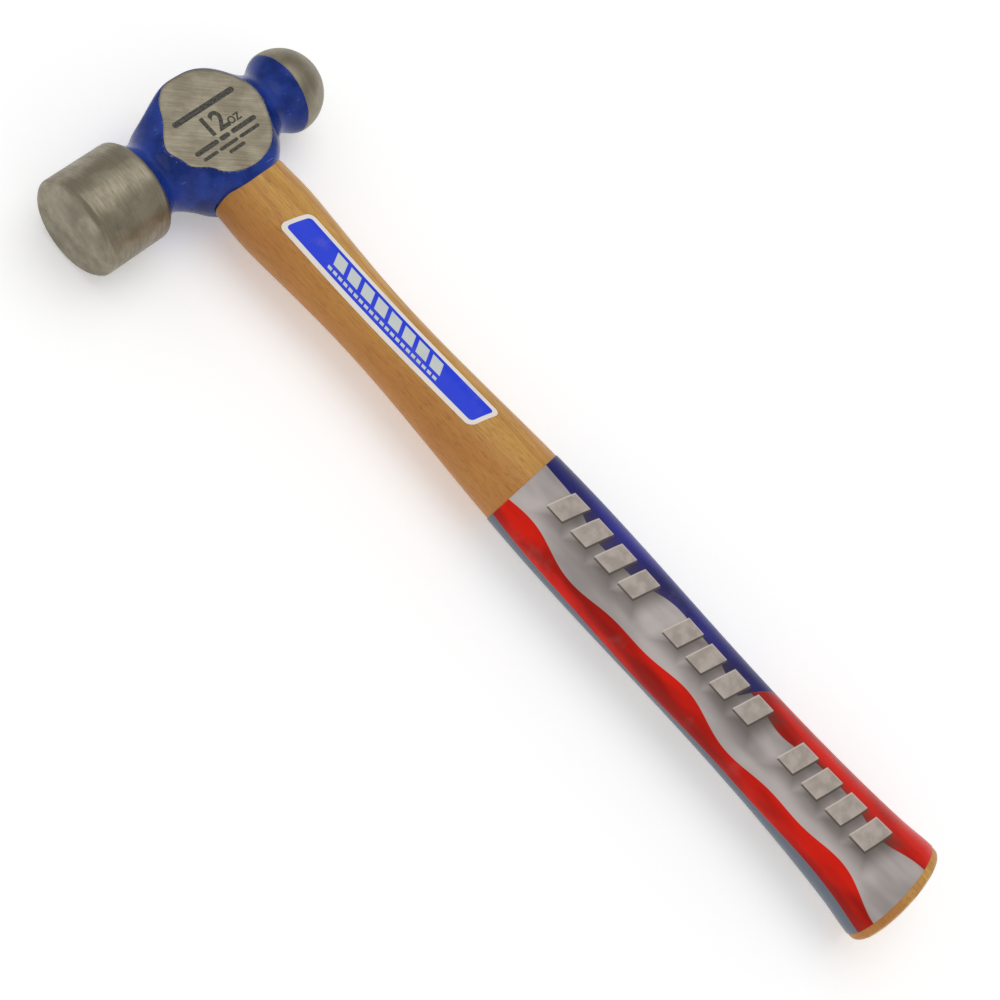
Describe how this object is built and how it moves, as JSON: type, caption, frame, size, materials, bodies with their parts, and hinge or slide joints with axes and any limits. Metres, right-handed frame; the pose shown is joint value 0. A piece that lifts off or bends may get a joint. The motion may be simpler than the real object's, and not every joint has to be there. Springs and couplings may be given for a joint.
{
  "type": "ball peen hammer",
  "caption": "Ball peen hammer with a round striking face, a ball peen, an oval hickory handle wedged into the eye, and a printed film on the grip.",
  "frame": {"origin": "centre of the striking face", "axes": "+X from the striking face to the ball, -Y along the handle to the butt, +Z square to the flat cheeks, so the hammer lies on its side"},
  "size_m": [0.0909, 0.2986, 0.029],
  "materials": {
    "forged_steel": "blue enamel with ground steel striking face, cheeks and ball",
    "hickory": "satin clear lacquer",
    "wedge_wood": "raw",
    "wedge_steel": "rough cut",
    "grip_print": "shrunk printed film, soft gloss",
    "label_print": "printed film, soft gloss"
  },
  "bodies": {
    "root": {"head": "forged_steel", "handle": "hickory", "wood_wedge": "wedge_wood", "steel_wedge_1": "wedge_steel", "steel_wedge_2": "wedge_steel", "grip_film": "grip_print", "label": "label_print"}
  },
  "joints": []
}
